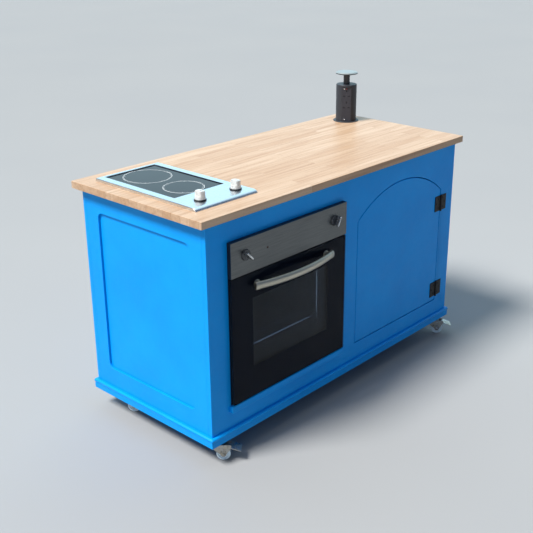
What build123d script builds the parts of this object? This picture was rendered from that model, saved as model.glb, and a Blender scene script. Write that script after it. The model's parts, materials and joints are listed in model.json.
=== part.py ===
from build123d import *
import math
import os

# A cookery island on casters: a painted cabinet with a wooden worktop, a built-in
# oven, a two-ring hob, a pull-up socket tower and an arched cupboard door.
# Millimetres, +Z up, +X to the right along the front, -Y out of the front.
# The origin is on the floor, in the middle of the whole footprint.

# Cabinet and worktop
cabinet_length = 1440
cabinet_depth = 630
board = 18
worktop_height = 900
worktop_thickness = 25
side_overhang = 30
front_overhang = 18
back_overhang = 20
side_frame_thickness = 8
side_board_thickness = 12
recess_margin = 80
recess_bottom = 188
recess_top = 798
recess_corner = 22
plinth_height = 37
plinth_proud = 12
batten = 20

# Casters
caster_height = 75
wheel_radius = 25
wheel_width = 20
axle_radius = 4
caster_trail = 30
caster_swivel = 41
caster_plate = 62
plate_thickness = 2.5
bolt_spacing = 46
left_caster_inset = 38
right_caster_inset = 64
front_caster_inset = 30
back_caster_inset = 115

# Oven
oven_x = -332
oven_size = 595
oven_bottom = 201
oven_proud = 19
oven_panel_bottom = 672
oven_casing_width = 556
oven_casing_height = 580
oven_casing_depth = 520
cavity_width = 430
cavity_bottom = 287
cavity_top = 623
cavity_depth = 420
sheet = 2
shelf_level = 370
handle_span = 400
handle_height = 625
handle_reach = 72
handle_end_reach = 42
handle_section = (17, 27)
oven_knob_spread = 230
oven_knob_height = 741

# Hob
hob_x = -554
hob_width = 282
hob_length = 514
hob_inset = 66
hob_rise = 12
hob_knob_offsets = (-68, 94)
hob_knob_inset = 58
hob_cutout_margin = 8

# Arched cupboard door and its hinges
door_x = 345
door_width = 566
door_bottom = 181
door_spring = 688
arch_rise = 102
door_gap = 3
hinge_height = 66
hinge_leaf = 40
hinge_heights = (234, 629)
divider_x = 14
shelf_height = 480

# Socket tower
tower_inset = (102, 116)
tower_radius = 45.5
tower_top = 1064
tower_bottom = 850
tower_turn = -50
cap_radius = 48.5
cap_top = 1118

# Running clearances
shaft_clearance = 0.05
slide_clearance = 0.5

# Planes and levels that follow from the sizes above
left = -cabinet_length / 2
right = cabinet_length / 2
front = handle_reach - (handle_reach + cabinet_depth + back_overhang) / 2
back = front + cabinet_depth
inner_front = front + board
inner_back = back - board
base_top = caster_height + board
worktop_underside = worktop_height - worktop_thickness
side_thickness = side_frame_thickness + side_board_thickness
bay_left = left + side_thickness
bay_right = right - side_thickness
front_face = Plane.XZ.offset(-front)
middle_y = (front + back) / 2
wall_middle = (base_top + worktop_underside) / 2
wall_height = worktop_underside - base_top

os.makedirs("parts", exist_ok=True)


def save(piece, name):
    """Label a finished piece and write its STEP file."""
    piece.part.label = name
    export_step(piece.part, f"parts/{name}.step")


def fill(x, y, z, mode=Mode.ADD):
    """Add a box that spans the three (low, high) ranges."""
    spans = (x, y, z)
    with Locations([tuple((low + high) / 2 for low, high in spans)]):
        Box(*[high - low for low, high in spans], mode=mode)


def both_ways(middle, half):
    """The range that reaches as far each way from the middle."""
    return (middle - half, middle + half)


# ---------------------------------------------------------------- carcass

caster_places = [
    ("front_left", left + left_caster_inset, front + front_caster_inset),
    ("front_right", right - right_caster_inset, front + front_caster_inset),
    ("back_left", left + left_caster_inset, back - back_caster_inset),
    ("back_right", right - right_caster_inset, back - back_caster_inset),
]
half_spacing = bolt_spacing / 2
bolt_places = [
    (x + dx, y + dy)
    for _, x, y in caster_places
    for dx in (-half_spacing, half_spacing)
    for dy in (-half_spacing, half_spacing)
]
bolt_radius = 3
bolt_depth = 14
bolt_head = (5.5, 3)
screw_head_height = 0.8
plate_bottom = caster_height - plate_thickness

with BuildPart() as base_board:
    fill((left, right), (front, back), (caster_height, base_top))
    with Locations([(x, y, caster_height) for x, y in bolt_places]):
        Cylinder(
            bolt_radius + shaft_clearance,
            bolt_depth + 1,
            align=(Align.CENTER, Align.CENTER, Align.MIN),
            mode=Mode.SUBTRACT,
        )
save(base_board, "base_board")

arch_radius = ((door_width / 2) ** 2 + arch_rise**2) / (2 * arch_rise)
arch_centre = door_spring + arch_rise - arch_radius


def door_outline(grow):
    """The arched door's outline about its own middle, grown by a margin."""
    half = door_width / 2 + grow
    radius = arch_radius + grow
    spring = arch_centre + math.sqrt(radius**2 - half**2)
    foot = door_bottom - grow
    with BuildSketch() as outline:
        with BuildLine():
            Polyline((-half, spring), (-half, foot), (half, foot), (half, spring))
            ThreePointArc((half, spring), (0, arch_centre + radius), (-half, spring))
        make_face()
    return outline.sketch


hinge_x = door_x + door_width / 2 + door_gap / 2
hinge_screw_offsets = ((16, -20), (30, 0), (16, 20))
hinge_screw_places = [
    (hinge_x + out, level + rise)
    for level in hinge_heights
    for out, rise in hinge_screw_offsets
]
hinge_screw_radius = 1.8
oven_hole_width = oven_casing_width + 4
oven_hole_bottom = oven_bottom + 2
oven_hole_top = oven_hole_bottom + oven_casing_height + 4

with BuildPart() as front_frame:
    with BuildSketch(front_face):
        with Locations((0, wall_middle)):
            Rectangle(cabinet_length, wall_height)
        with Locations((oven_x, (oven_hole_bottom + oven_hole_top) / 2)):
            Rectangle(oven_hole_width, oven_hole_top - oven_hole_bottom, mode=Mode.SUBTRACT)
        with Locations((door_x, 0)):
            add(door_outline(door_gap), mode=Mode.SUBTRACT)
        with Locations(hinge_screw_places):
            Circle(hinge_screw_radius + shaft_clearance, mode=Mode.SUBTRACT)
    extrude(amount=-board)
save(front_frame, "front_frame")

with BuildPart() as side_frames:
    for outer in (left, right - side_frame_thickness):
        with BuildSketch(Plane.YZ.offset(outer)):
            with Locations((middle_y, wall_middle)):
                Rectangle(cabinet_depth - 2 * board, wall_height)
            with Locations((middle_y, (recess_bottom + recess_top) / 2)):
                RectangleRounded(
                    cabinet_depth - 2 * recess_margin,
                    recess_top - recess_bottom,
                    recess_corner,
                    mode=Mode.SUBTRACT,
                )
        extrude(amount=side_frame_thickness)
save(side_frames, "side_frames")

with BuildPart() as side_boards:
    for low in (left + side_frame_thickness, bay_right):
        high = low + side_board_thickness
        fill((low, high), (inner_front, inner_back), (base_top, worktop_underside))
save(side_boards, "side_boards")

outlet_x = right - 170
outlet_z = 150
outlet_radius = 12
grommet_radius = 20
grommet_flange = (26, 3)
back_face = Plane.XZ.offset(-back)

with BuildPart() as back_panel:
    with BuildSketch(back_face):
        with Locations((0, wall_middle)):
            Rectangle(cabinet_length, wall_height)
        with Locations((outlet_x, outlet_z)):
            Circle(grommet_radius, mode=Mode.SUBTRACT)
    extrude(amount=board)
save(back_panel, "back_panel")

with BuildPart() as cable_grommet:
    with BuildSketch(back_face):
        with Locations((outlet_x, outlet_z)):
            Circle(grommet_radius)
    extrude(amount=board)
    with BuildSketch(back_face):
        with Locations((outlet_x, outlet_z)):
            Circle(grommet_flange[0])
    extrude(amount=-grommet_flange[1])
    with BuildSketch(Plane.XZ.offset(-inner_back)):
        with Locations((outlet_x, outlet_z)):
            Circle(outlet_radius)
    extrude(amount=-(board + grommet_flange[1]), mode=Mode.SUBTRACT)
save(cable_grommet, "cable_grommet")

divider_left = divider_x - board / 2
divider_right = divider_x + board / 2

with BuildPart() as centre_divider:
    fill((divider_left, divider_right), (inner_front, inner_back), (base_top, worktop_underside))
save(centre_divider, "centre_divider")

with BuildPart() as oven_shelf_board:
    fill(
        (bay_left, divider_left),
        (inner_front, inner_back),
        (oven_hole_bottom - board, oven_hole_bottom),
    )
save(oven_shelf_board, "oven_shelf_board")

shelf_front = inner_front + 45

with BuildPart() as cupboard_shelf:
    fill(
        (divider_right, bay_right),
        (shelf_front, inner_back),
        (shelf_height - board, shelf_height),
    )
save(cupboard_shelf, "cupboard_shelf")

tower_x = right + side_overhang - tower_inset[0]
tower_y = back + back_overhang - tower_inset[1]

with BuildPart() as battens:
    top_level = (worktop_underside - batten, worktop_underside)
    front_strip = (inner_front, inner_front + batten)
    back_strip = (inner_back - batten, inner_back)
    fill((bay_left, divider_left), front_strip, top_level)
    fill((divider_right, bay_right), front_strip, top_level)
    fill((bay_left, divider_left), back_strip, top_level)
    fill((divider_right, tower_x - 2 * tower_radius), back_strip, top_level)
    shelf_underside = shelf_height - board
    under_shelf = (shelf_underside - batten, shelf_underside)
    for low in (divider_right, bay_right - batten):
        fill((low, low + batten), (shelf_front + batten, inner_back), under_shelf)
save(battens, "battens")

bead_height = 13

with BuildPart() as plinth_moulding:
    with BuildLine(Plane.XY.offset(caster_height)) as plinth_path:
        Polyline((0, front), (right, front), (right, back), (left, back), (left, front), close=True)
    with BuildSketch(Plane((0, front, caster_height), x_dir=(0, -1, 0), z_dir=(-1, 0, 0))):
        with BuildLine():
            Polyline(
                (plinth_proud - 4, plinth_height),
                (0, plinth_height),
                (0, 0),
                (plinth_proud - 2, 0),
                (plinth_proud - 2, plinth_height - bead_height),
            )
            ThreePointArc(
                (plinth_proud - 2, plinth_height - bead_height),
                (plinth_proud, plinth_height - bead_height / 2),
                (plinth_proud - 4, plinth_height),
            )
        make_face()
    sweep(path=plinth_path.line, transition=Transition.RIGHT)
save(plinth_moulding, "plinth_moulding")

ledge_width = 608
ledge_height = 27
ledge_proud = 15

with BuildPart() as oven_ledge:
    with BuildSketch(front_face):
        with Locations((oven_x, oven_bottom - 2 - ledge_height / 2)):
            RectangleRounded(ledge_width, ledge_height, 6)
    extrude(amount=ledge_proud)
    fillet(oven_ledge.faces().sort_by(Axis.Y)[0].edges(), 4)
save(oven_ledge, "oven_ledge")

# ---------------------------------------------------------------- worktop

hob_y = front + hob_inset + hob_length / 2
cutout_width = hob_width - 2 * hob_cutout_margin
cutout_length = hob_length - 2 * hob_cutout_margin
sleeve_bore = tower_radius + slide_clearance
sleeve_wall = 3
sleeve_radius = sleeve_bore + sleeve_wall

with BuildPart() as worktop:
    fill(
        (left - side_overhang, right + side_overhang),
        (front - front_overhang, back + back_overhang),
        (worktop_underside, worktop_height),
    )
    fillet(worktop.edges().filter_by(Axis.Z), 3)
    fillet(worktop.faces().sort_by(Axis.Z)[-1].edges(), 1.5)
    with BuildSketch(Plane.XY.offset(worktop_underside)):
        with Locations((hob_x, hob_y)):
            RectangleRounded(cutout_width, cutout_length, 8)
        with Locations((tower_x, tower_y)):
            Circle(sleeve_radius)
    extrude(amount=worktop_thickness, mode=Mode.SUBTRACT)
save(worktop, "worktop")

# ---------------------------------------------------------------- hob

hob_front = hob_y - hob_length / 2
hob_lip = 18
hob_sheet = 2
hob_top = worktop_height + hob_rise
glass_margin = 29
glass_front = hob_front + 134
glass_back = hob_front + hob_length - 15
glass_width = hob_width - 2 * glass_margin
glass_y = (glass_front + glass_back) / 2
glass_length = glass_back - glass_front
glass_thickness = 4
glass_top = hob_top - 3
glass_rest = 9
hob_knob_y = hob_front + hob_knob_inset
hob_knob_places = [(hob_x + offset, hob_knob_y) for offset in hob_knob_offsets]
knob_shaft_radius = 3

with BuildPart() as hob_frame:
    with BuildSketch(Plane.YZ.offset(hob_x - hob_width / 2)):
        with BuildLine():
            EllipticalCenterArc(
                (hob_front + hob_lip, worktop_height),
                hob_lip,
                hob_rise,
                start_angle=90,
                arc_size=90,
            )
            Polyline(
                (hob_front + hob_lip, hob_top),
                (hob_front + hob_length, hob_top),
                (hob_front + hob_length, worktop_height),
                (hob_front, worktop_height),
            )
        make_face()
    extrude(amount=hob_width)
    top_rim = hob_frame.faces().sort_by(Axis.Z)[-1].edges()
    fillet(top_rim.filter_by(Axis.Y) + top_rim.sort_by(Axis.Y)[-1:], 3)
    with BuildSketch(Plane.XY.offset(glass_top - glass_thickness)):
        with Locations((hob_x, glass_y)):
            RectangleRounded(glass_width + 1, glass_length + 1, 4)
    extrude(amount=hob_rise, mode=Mode.SUBTRACT)
    with BuildSketch(Plane.XY.offset(worktop_height)):
        with Locations((hob_x, glass_y)):
            Rectangle(glass_width - 2 * glass_rest, glass_length - 2 * glass_rest)
    extrude(amount=hob_rise, mode=Mode.SUBTRACT)
    fill(
        both_ways(hob_x, cutout_width / 2 - 4),
        (hob_front + hob_lip, glass_front - 6),
        (worktop_height, hob_top - hob_sheet),
        Mode.SUBTRACT,
    )
    with Locations([(x, y, hob_top) for x, y in hob_knob_places]):
        Cylinder(knob_shaft_radius + shaft_clearance, 2 * hob_rise, mode=Mode.SUBTRACT)
save(hob_frame, "hob_frame")

with BuildPart() as hob_glass:
    with BuildSketch(Plane.XY.offset(glass_top - glass_thickness)):
        with Locations((hob_x, glass_y)):
            RectangleRounded(glass_width, glass_length, 4)
    extrude(amount=glass_thickness)
save(hob_glass, "hob_glass")

hob_casing_bottom = 835
casing_clearance = 2
hob_casing_x = both_ways(hob_x, cutout_width / 2 - casing_clearance)
hob_casing_y = both_ways(hob_y, cutout_length / 2 - casing_clearance)

with BuildPart() as hob_casing:
    fill(hob_casing_x, hob_casing_y, (hob_casing_bottom, worktop_height))
    fillet(hob_casing.edges().filter_by(Axis.Z), 8)
    fill(
        (hob_casing_x[0] + sheet, hob_casing_x[1] - sheet),
        (hob_casing_y[0] + sheet, hob_casing_y[1] - sheet),
        (hob_casing_bottom + sheet, worktop_height),
        Mode.SUBTRACT,
    )
save(hob_casing, "hob_casing")

heater_cup = 18
heater_stem = 10
heaters = ((85, glass_back - 95), (70, glass_front + 80))

with BuildPart() as hob_heaters:
    for radius, y in heaters:
        cup_bottom = glass_top - glass_thickness - heater_cup
        with BuildSketch(Plane.XY.offset(hob_casing_bottom + sheet)):
            with Locations((hob_x, y)):
                Circle(heater_stem)
        extrude(amount=cup_bottom - hob_casing_bottom - sheet)
        with BuildSketch(Plane.XY.offset(cup_bottom)):
            with Locations((hob_x, y)):
                Circle(radius)
        extrude(amount=heater_cup)
save(hob_heaters, "hob_heaters")

bezel_radius = 21
bezel_height = 4

with BuildPart() as hob_knob_bezels:
    with BuildSketch(Plane.XY.offset(hob_top)):
        with Locations(hob_knob_places):
            Circle(bezel_radius)
            Circle(knob_shaft_radius + shaft_clearance, mode=Mode.SUBTRACT)
    extrude(amount=bezel_height)
    fillet(hob_knob_bezels.edges().group_by(Axis.Z)[-1].filter_by(lambda e: e.radius > 10), 1)
save(hob_knob_bezels, "hob_knob_bezels")

hob_knob_radius = 18.5
hob_knob_height = 28
hob_knob_gap = 0.4
hob_knob_taper = 4
grip_half_width = 10
grip_bottom = 10
hob_shaft_length = 26

for side, (knob_x, knob_y) in zip(("left", "right"), hob_knob_places):
    knob_bottom = hob_top + bezel_height + hob_knob_gap
    with BuildPart() as hob_knob:
        with BuildSketch(Plane.XY.offset(knob_bottom)):
            with Locations((knob_x, knob_y)):
                Circle(hob_knob_radius)
        extrude(amount=hob_knob_height, taper=hob_knob_taper)
        fillet(hob_knob.edges().sort_by(Axis.Z)[-1:], 3)
        for flank in (-1, 1):
            with BuildSketch(Plane.XY.offset(knob_bottom + grip_bottom)):
                with Locations((knob_x + flank * (grip_half_width + hob_knob_radius / 2), knob_y)):
                    Rectangle(hob_knob_radius, 2 * hob_knob_radius)
            extrude(amount=hob_knob_height, mode=Mode.SUBTRACT)
        with BuildSketch(Plane.XY.offset(hob_top - hob_shaft_length)):
            with Locations((knob_x, knob_y)):
                Circle(knob_shaft_radius)
        extrude(amount=knob_bottom - hob_top + hob_shaft_length)
    save(hob_knob, f"hob_knob_{side}")

# ---------------------------------------------------------------- oven body

oven_top = oven_bottom + oven_size
oven_half = oven_size / 2
flange = 3
panel_front = front - oven_proud
casing_x = both_ways(oven_x, oven_casing_width / 2)
casing_z = (oven_hole_bottom, oven_hole_bottom + oven_casing_height)
cavity_x = both_ways(oven_x, cavity_width / 2)
oven_knob_places = [(oven_x + s * oven_knob_spread, oven_knob_height) for s in (-1, 1)]

with BuildPart() as oven_casing:
    fill(casing_x, (front, front + oven_casing_depth), casing_z)
    fill(
        (casing_x[0] + sheet, casing_x[1] - sheet),
        (front, front + oven_casing_depth - sheet),
        (casing_z[0] + sheet, casing_z[1] - sheet),
        Mode.SUBTRACT,
    )
save(oven_casing, "oven_casing")

with BuildPart() as oven_cavity:
    fill(
        both_ways(oven_x, oven_half - 1.5),
        (front - flange, front),
        (oven_bottom, oven_top),
    )
    fill(
        (cavity_x[0] - sheet, cavity_x[1] + sheet),
        (front, front + cavity_depth + sheet),
        (cavity_bottom - sheet, cavity_top + sheet),
    )
    fill(
        cavity_x,
        (front - flange, front + cavity_depth),
        (cavity_bottom, cavity_top),
        Mode.SUBTRACT,
    )
    with BuildSketch(Plane.XZ.offset(-front)):
        with Locations(oven_knob_places):
            Circle(2 * knob_shaft_radius)
    extrude(amount=flange, mode=Mode.SUBTRACT)
save(oven_cavity, "oven_cavity")

lamp_radius = 4
lamp_place = (oven_x - 125, oven_knob_height - 3)

with BuildPart() as oven_control_panel:
    fill(
        both_ways(oven_x, oven_half),
        (panel_front, front - flange),
        (oven_panel_bottom, oven_top),
    )
    fillet(oven_control_panel.faces().sort_by(Axis.Y)[0].edges(), 1)
    fill(
        both_ways(oven_x, oven_half - sheet),
        (panel_front + sheet, front - flange),
        (oven_panel_bottom + sheet, oven_top - sheet),
        Mode.SUBTRACT,
    )
    with BuildSketch(Plane.XZ.offset(-panel_front)):
        with Locations(oven_knob_places):
            Circle(knob_shaft_radius + shaft_clearance)
        with Locations(lamp_place):
            Circle(lamp_radius)
    extrude(amount=-sheet, mode=Mode.SUBTRACT)
save(oven_control_panel, "oven_control_panel")

with BuildPart() as oven_indicator_lamp:
    with BuildSketch(Plane.XZ.offset(-(panel_front - 1.5))):
        with Locations(lamp_place):
            Circle(lamp_radius)
    extrude(amount=-12)
    fillet(oven_indicator_lamp.edges().sort_by(Axis.Y)[:1], 1.2)
save(oven_indicator_lamp, "oven_indicator_lamp")

switch_size = 42
switch_depth = 30

with BuildPart() as oven_switches:
    with BuildSketch(Plane.XZ.offset(-front)):
        with Locations(oven_knob_places):
            RectangleRounded(switch_size, switch_size, 4)
            Circle(knob_shaft_radius + shaft_clearance, mode=Mode.SUBTRACT)
    extrude(amount=-switch_depth)
save(oven_switches, "oven_switches")

oven_knob_turns = (45, -30)
oven_knob_radius = 20
oven_knob_gap = 0.4
oven_skirt = 5
grip_length = 40
grip_width = 9
grip_reach = 24
grip_root = 2

for side, (knob_x, knob_z), turn in zip(("left", "right"), oven_knob_places, oven_knob_turns):
    skirt_back = panel_front - oven_knob_gap
    with BuildPart() as oven_knob:
        with BuildSketch(Plane.XZ.offset(-skirt_back)):
            with Locations((knob_x, knob_z)):
                Circle(oven_knob_radius)
        extrude(amount=oven_skirt, taper=20)
        with BuildSketch(Plane.XZ.offset(-(skirt_back - grip_root))):
            with Locations(Location((knob_x, knob_z), turn)):
                SlotOverall(grip_length, grip_width, rotation=90)
        extrude(amount=grip_reach - grip_root, taper=3)
        fillet(oven_knob.faces().sort_by(Axis.Y)[0].edges(), 2)
        with BuildSketch(Plane.XZ.offset(-skirt_back)):
            with Locations((knob_x, knob_z)):
                Circle(knob_shaft_radius)
        extrude(amount=-(oven_proud + switch_depth - 5))
    save(oven_knob, f"oven_knob_{side}")

seal_width = 8

with BuildPart() as oven_door_seal:
    with BuildSketch(Plane.XZ.offset(-(front - flange))):
        with Locations((oven_x, (cavity_bottom + cavity_top) / 2)):
            opening = (cavity_width + 6, cavity_top - cavity_bottom + 6)
            RectangleRounded(opening[0] + 2 * seal_width, opening[1] + 2 * seal_width, 14)
            RectangleRounded(*opening, 6, mode=Mode.SUBTRACT)
    extrude(amount=1.7)
save(oven_door_seal, "oven_door_seal")

rack_levels = [shelf_level - 5 + 60 * step for step in range(-1, 4)]
rack_rod = 2.5
rack_post = 3
rack_inset = 4.5
rack_y = (front + 28, front + 406)
post_inset = 22

with BuildPart() as oven_shelf_runners:
    for flank in (-1, 1):
        rack_x = oven_x + flank * (cavity_width / 2 - rack_inset)
        for y in (rack_y[0] + post_inset, rack_y[1] - post_inset):
            with BuildSketch(Plane.XY.offset(rack_levels[0] - 15)):
                with Locations((rack_x, y)):
                    Circle(rack_post)
            extrude(amount=rack_levels[-1] - rack_levels[0] + 30)
        with BuildSketch(Plane.XZ.offset(-rack_y[0])):
            with Locations([(rack_x, level) for level in rack_levels]):
                Circle(rack_rod)
        extrude(amount=rack_y[0] - rack_y[1])
save(oven_shelf_runners, "oven_shelf_runners")

shelf_rod = 2.5
shelf_half = cavity_width / 2 - 12
shelf_lug = 6
shelf_y = (front + 34, front + 400)
shelf_wires = 21

with BuildPart() as oven_wire_shelf:
    for y in shelf_y:
        with BuildSketch(Plane.YZ.offset(oven_x - shelf_half - shelf_lug)):
            with Locations((y, shelf_level + 0.2)):
                Circle(shelf_rod)
        extrude(amount=2 * (shelf_half + shelf_lug))
    for flank in (-1, 1):
        with BuildSketch(Plane.XZ.offset(-shelf_y[0])):
            with Locations((oven_x + flank * shelf_half, shelf_level + 0.2)):
                Circle(shelf_rod)
        extrude(amount=shelf_y[0] - shelf_y[1])
    with BuildSketch(Plane.XZ.offset(-shelf_y[0])):
        with Locations((oven_x, shelf_level + shelf_rod)):
            with GridLocations(2 * shelf_half / (shelf_wires + 1), 0, shelf_wires, 1):
                Circle(1.4)
    extrude(amount=shelf_y[0] - shelf_y[1])
save(oven_wire_shelf, "oven_wire_shelf")

tray_bottom = shelf_level + shelf_rod + 2
tray_half = 185
tray_height = 22
tray_wall = 1.5
tray_y = (front + 60, front + 370)

with BuildPart() as oven_tray:
    for inset, mode in ((0, Mode.ADD), (tray_wall, Mode.SUBTRACT)):
        with BuildSketch(Plane.XY.offset(tray_bottom + inset)):
            with Locations((oven_x, sum(tray_y) / 2)):
                RectangleRounded(
                    2 * (tray_half - 10 - inset),
                    tray_y[1] - tray_y[0] - 20 - 2 * inset,
                    14 - inset,
                )
        extrude(amount=tray_height, taper=-18, mode=mode)
save(oven_tray, "oven_tray")

element_radius = 3.5
element_reach = 150
element_levels = (cavity_top - 22, cavity_bottom - 30)

with BuildPart() as oven_heating_elements:
    for level in element_levels:
        with BuildLine() as element_path:
            FilletPolyline(
                (oven_x - element_reach, front + cavity_depth, level),
                (oven_x - element_reach, front + 60, level),
                (oven_x - element_reach / 3, front + 60, level),
                (oven_x - element_reach / 3, front + 320, level),
                (oven_x + element_reach / 3, front + 320, level),
                (oven_x + element_reach / 3, front + 60, level),
                (oven_x + element_reach, front + 60, level),
                (oven_x + element_reach, front + cavity_depth, level),
                radius=30,
            )
        with BuildSketch(Plane.XZ.offset(-(front + cavity_depth))):
            with Locations((oven_x - element_reach, level)):
                Circle(element_radius)
        sweep(path=element_path.line)
save(oven_heating_elements, "oven_heating_elements")

# ---------------------------------------------------------------- oven door

door_clearance = 2
oven_door_bottom = oven_bottom + 4
oven_door_top = oven_panel_bottom - 4
oven_door_back = front - flange - door_clearance
door_glass_thickness = 4
door_frame_front = panel_front + door_glass_thickness
oven_door_z = (oven_door_bottom, oven_door_top)
pivot_y = panel_front + 8
pivot_z = oven_door_bottom + 4
lug_places = [oven_x - 250, oven_x + 250]
lug_half = 2.5
lug_radius = 3.4
lug_pin_radius = 1.5
lug_pin_half = 12
lug_slot_gap = 0.6
window_half = 198
window_z = (318, 576)
inner_pane_half = window_half + 14
inner_pane_z = (window_z[0] - 14, window_z[1] + 14)
inner_pane_thickness = 3

with BuildPart() as oven_hinge_lugs:
    for x in lug_places:
        fill(
            both_ways(x, lug_half),
            (pivot_y, front - flange),
            (pivot_z - lug_radius, pivot_z + lug_radius),
        )
        with BuildSketch(Plane.YZ.offset(x - lug_half)):
            with Locations((pivot_y, pivot_z)):
                Circle(lug_radius)
        extrude(amount=2 * lug_half)
        with BuildSketch(Plane.YZ.offset(x - lug_pin_half)):
            with Locations((pivot_y, pivot_z)):
                Circle(lug_pin_radius)
        extrude(amount=2 * lug_pin_half)
save(oven_hinge_lugs, "oven_hinge_lugs")

with BuildPart() as oven_door_frame:
    fill(both_ways(oven_x, oven_half - 2), (door_frame_front, oven_door_back), oven_door_z)
    fill(both_ways(oven_x, window_half), (door_frame_front, oven_door_back), window_z, Mode.SUBTRACT)
    fill(
        both_ways(oven_x, inner_pane_half),
        (oven_door_back - inner_pane_thickness, oven_door_back),
        inner_pane_z,
        Mode.SUBTRACT,
    )
    for x in lug_places:
        fill(
            both_ways(x, lug_half + lug_slot_gap),
            (door_frame_front, oven_door_back),
            (oven_door_bottom, pivot_z + lug_radius + 1),
            Mode.SUBTRACT,
        )
        with BuildSketch(Plane.YZ.offset(x - lug_pin_half - slide_clearance)):
            with Locations((pivot_y, pivot_z)):
                Circle(lug_pin_radius + shaft_clearance)
        extrude(amount=2 * (lug_pin_half + slide_clearance), mode=Mode.SUBTRACT)
save(oven_door_frame, "oven_door_frame")

with BuildPart() as oven_door_glass:
    fill(both_ways(oven_x, oven_half), (panel_front, door_frame_front), oven_door_z)
    fillet(oven_door_glass.edges().filter_by(Axis.Y), 2)
    fillet(oven_door_glass.faces().sort_by(Axis.Y)[0].edges(), 1)
save(oven_door_glass, "oven_door_glass")

with BuildPart() as oven_inner_glass:
    fill(
        both_ways(oven_x, inner_pane_half - 0.5),
        (oven_door_back - inner_pane_thickness, oven_door_back),
        (inner_pane_z[0] + 0.5, inner_pane_z[1] - 0.5),
    )
save(oven_inner_glass, "oven_inner_glass")

handle_half_depth = handle_section[0] / 2
handle_end_y = front - handle_end_reach + handle_half_depth
handle_ends = [(oven_x + side * handle_span / 2, handle_end_y) for side in (-1, 1)]
handle_middle = (oven_x, front - handle_reach + handle_half_depth)

with BuildPart() as oven_handle_bar:
    with BuildLine(Plane.XY.offset(handle_height)) as handle_path:
        ThreePointArc(handle_ends[0], handle_middle, handle_ends[1])
    with BuildSketch(Plane(handle_path.line @ 0, x_dir=(0, 0, 1), z_dir=handle_path.line % 0)):
        Ellipse(handle_section[1] / 2, handle_half_depth)
    sweep(path=handle_path.line)
save(oven_handle_bar, "oven_handle_bar")

post_spread = 180
post_radius = 10
post_reach = 22

with BuildPart() as oven_handle_posts:
    with BuildSketch(Plane.XZ.offset(-panel_front)):
        with Locations([(oven_x + side * post_spread, handle_height) for side in (-1, 1)]):
            Circle(post_radius)
    extrude(amount=post_reach)
    add(oven_handle_bar.part, mode=Mode.SUBTRACT)
    for post in oven_handle_posts.solids().sort_by(Axis.Y)[:-2]:
        add(post, mode=Mode.SUBTRACT)
save(oven_handle_posts, "oven_handle_posts")

# ---------------------------------------------------------------- cupboard door

hinge_pin_radius = 2
knuckle_radius = 4
knuckle_y = front - knuckle_radius - 0.5
leaf_thickness = 3
knuckle_gap = 0.3
knuckle_third = hinge_height / 3
outer_knuckles = ((0, knuckle_third - knuckle_gap), (2 * knuckle_third + knuckle_gap, hinge_height))
middle_knuckle = ((knuckle_third + knuckle_gap, 2 * knuckle_third - knuckle_gap),)

with BuildPart() as cupboard_door:
    with BuildSketch(front_face):
        with Locations((door_x, 0)):
            add(door_outline(0))
    extrude(amount=-board)
    fillet(cupboard_door.faces().sort_by(Axis.Y)[0].edges(), 2)
save(cupboard_door, "cupboard_door")


def knuckle(level, spans, way):
    """Add barrels over the spans of a leaf's height, each tied to its leaf."""
    for low, high in spans:
        with Locations((hinge_x, knuckle_y, level - hinge_height / 2 + low)):
            Cylinder(
                knuckle_radius,
                high - low,
                align=(Align.CENTER, Align.CENTER, Align.MIN),
            )
        reach = sorted((hinge_x, hinge_x + way * (knuckle_radius + 1)))
        z_range = (level - hinge_height / 2 + low, level - hinge_height / 2 + high)
        fill(reach, (front - leaf_thickness, front), z_range)


def leaf(level, spans, way):
    """Add one flat leaf with its barrels, bored for the pin."""
    sides = sorted((hinge_x + way * (knuckle_radius + 0.5), hinge_x + way * hinge_leaf))
    fill(sides, (front - leaf_thickness, front), both_ways(level, hinge_height / 2))
    knuckle(level, spans, way)
    with Locations((hinge_x, knuckle_y, level)):
        Cylinder(hinge_pin_radius + shaft_clearance, hinge_height, mode=Mode.SUBTRACT)


with BuildPart() as door_hinge_frame_leaves:
    for level in hinge_heights:
        leaf(level, outer_knuckles, 1)
    with BuildSketch(front_face):
        with Locations(hinge_screw_places):
            Circle(hinge_screw_radius + shaft_clearance)
    extrude(amount=leaf_thickness, mode=Mode.SUBTRACT)
save(door_hinge_frame_leaves, "door_hinge_frame_leaves")

with BuildPart() as door_hinge_leaves:
    for level in hinge_heights:
        leaf(level, middle_knuckle, -1)
save(door_hinge_leaves, "door_hinge_leaves")

with BuildPart() as door_hinge_pins:
    with Locations([(hinge_x, knuckle_y, level) for level in hinge_heights]):
        Cylinder(hinge_pin_radius, hinge_height)
save(door_hinge_pins, "door_hinge_pins")

with BuildPart() as fixing_screws:
    for x, y in bolt_places:
        with Locations((x, y, plate_bottom)):
            Cylinder(
                bolt_radius,
                plate_thickness + bolt_depth,
                align=(Align.CENTER, Align.CENTER, Align.MIN),
            )
            Cylinder(*bolt_head, align=(Align.CENTER, Align.CENTER, Align.MAX))
    with BuildSketch(Plane.XZ.offset(-(front - leaf_thickness))):
        with Locations(hinge_screw_places):
            Circle(hinge_screw_radius)
    extrude(amount=-(leaf_thickness + bolt_depth))
    with BuildSketch(Plane.XZ.offset(-(front - leaf_thickness))):
        with Locations(hinge_screw_places):
            Circle(2 * hinge_screw_radius)
    extrude(amount=screw_head_height)
save(fixing_screws, "fixing_screws")

latch_z = 570
plunger_x = door_x - door_width / 2 + 14
plunger_radius = 4
plunger_length = 44
plunger_gap = 0.3
latch_front = inner_front + 14
latch_back = latch_front + 48
latch_wall = 5
latch_half_height = 10

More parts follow.
